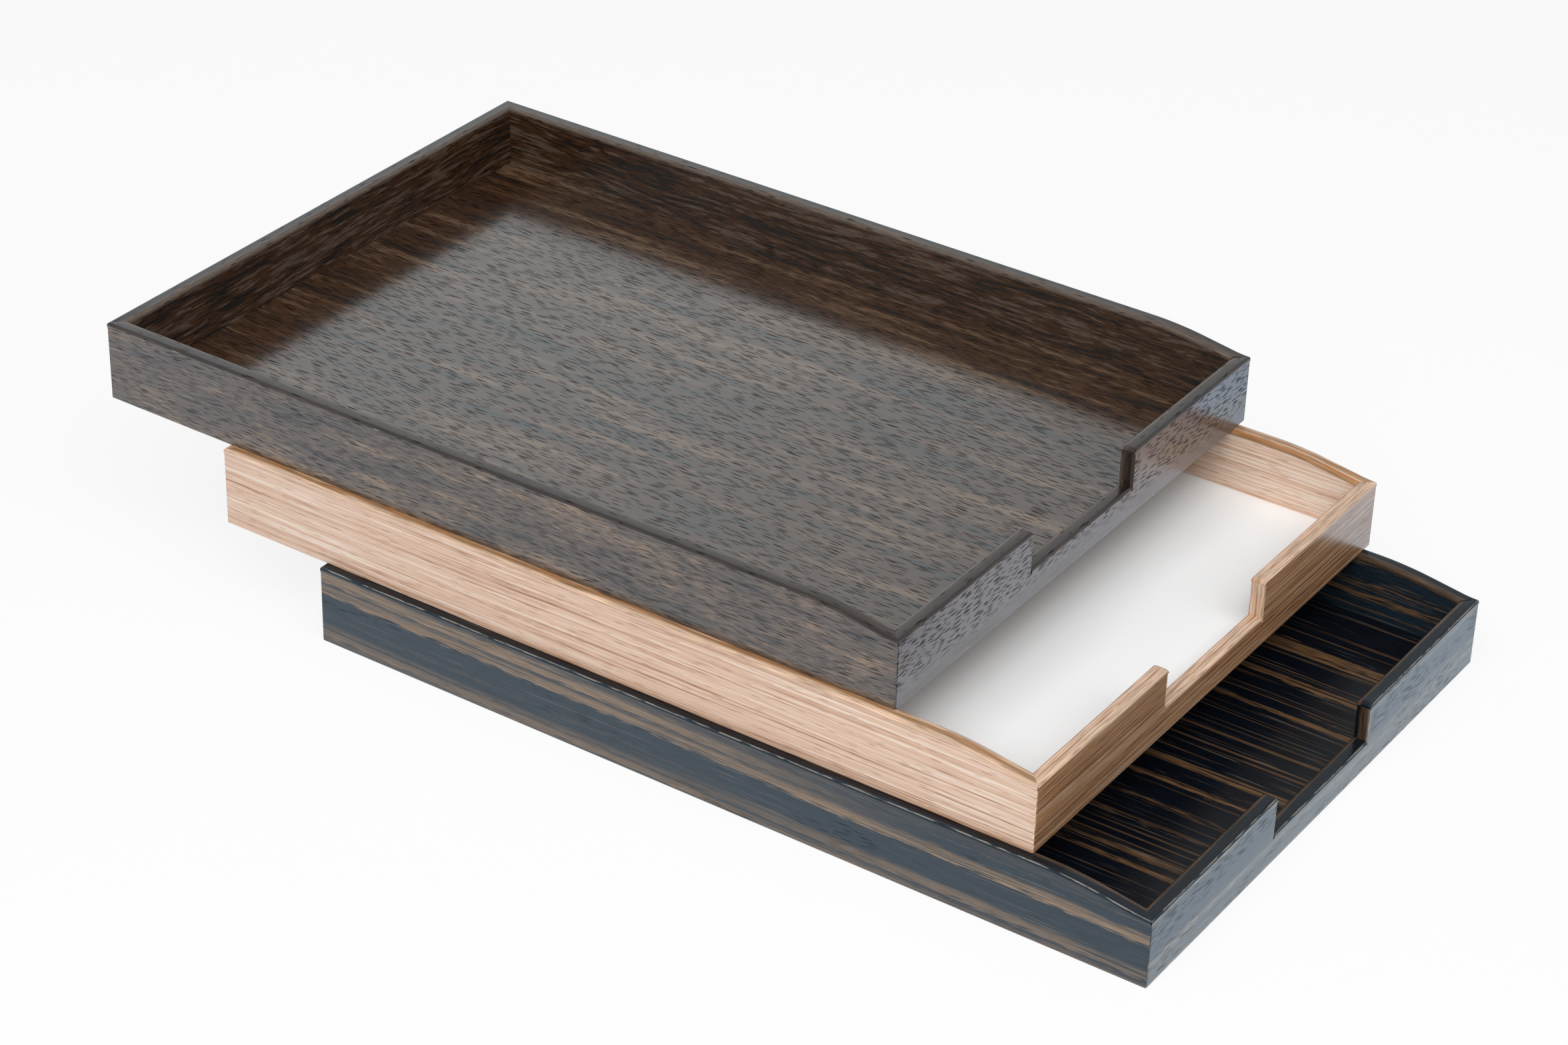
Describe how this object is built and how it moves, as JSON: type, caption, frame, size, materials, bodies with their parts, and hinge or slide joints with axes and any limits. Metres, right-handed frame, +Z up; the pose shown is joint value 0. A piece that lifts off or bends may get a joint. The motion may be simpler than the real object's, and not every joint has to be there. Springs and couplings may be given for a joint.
{
  "type": "stackable letter tray",
  "caption": "Shallow veneered letter trays in a stack, mitred, with side rims that slope to a low notched front; each rests on the rims below and slides back or forward.",
  "frame": {"origin": "middle of the bottom tray's underside, on the plane that it stands on", "axes": "+Z up, -Y towards the low notched fronts, +X to the right seen from the front"},
  "size_m": [0.257, 0.471, 0.099],
  "materials": {
    "ebony_veneer": "blue-black striped ebony veneer, satin lacquer",
    "pale_striped_veneer": "pale fine-striped veneer, satin lacquer",
    "wenge_veneer": "dark brown open-pored veneer, satin lacquer",
    "white_laminate": "plain white laminate, matt",
    "backed_board": "fibreboard with a plain backing veneer",
    "plywood": "raw birch plywood"
  },
  "bodies": {
    "bottom_tray": {"bottom_base_board": "backed_board", "bottom_floor_facing": "ebony_veneer", "bottom_left_wall": "ebony_veneer", "bottom_right_wall": "ebony_veneer", "bottom_back_wall": "ebony_veneer", "bottom_front_wall": "ebony_veneer", "bottom_left_rim": "ebony_veneer", "bottom_right_rim": "ebony_veneer", "bottom_back_rim": "ebony_veneer", "bottom_front_rim_left": "ebony_veneer", "bottom_front_rim_right": "ebony_veneer", "bottom_sill_rim": "ebony_veneer", "bottom_notch_end_left": "ebony_veneer", "bottom_notch_end_right": "ebony_veneer", "bottom_corner_splines": "plywood"},
    "middle_tray": {"middle_base_board": "backed_board", "middle_floor_facing": "white_laminate", "middle_left_wall": "pale_striped_veneer", "middle_right_wall": "pale_striped_veneer", "middle_back_wall": "pale_striped_veneer", "middle_front_wall": "pale_striped_veneer", "middle_left_rim": "pale_striped_veneer", "middle_right_rim": "pale_striped_veneer", "middle_back_rim": "pale_striped_veneer", "middle_front_rim_left": "pale_striped_veneer", "middle_front_rim_right": "pale_striped_veneer", "middle_sill_rim": "pale_striped_veneer", "middle_notch_end_left": "pale_striped_veneer", "middle_notch_end_right": "pale_striped_veneer", "middle_corner_splines": "plywood"},
    "top_tray": {"top_base_board": "backed_board", "top_floor_facing": "wenge_veneer", "top_left_wall": "wenge_veneer", "top_right_wall": "wenge_veneer", "top_back_wall": "wenge_veneer", "top_front_wall": "wenge_veneer", "top_left_rim": "wenge_veneer", "top_right_rim": "wenge_veneer", "top_back_rim": "wenge_veneer", "top_front_rim_left": "wenge_veneer", "top_front_rim_right": "wenge_veneer", "top_sill_rim": "wenge_veneer", "top_notch_end_left": "wenge_veneer", "top_notch_end_right": "wenge_veneer", "top_corner_splines": "plywood"}
  },
  "joints": [
    {"name": "middle_slide", "type": "slide", "parent": "bottom_tray", "child": "middle_tray", "axis": [0, 1, 0], "range_m": [-0.049, 0.051]},
    {"name": "top_slide", "type": "slide", "parent": "middle_tray", "child": "top_tray", "axis": [0, 1, 0], "range_m": [-0.06, 0.04]}
  ]
}
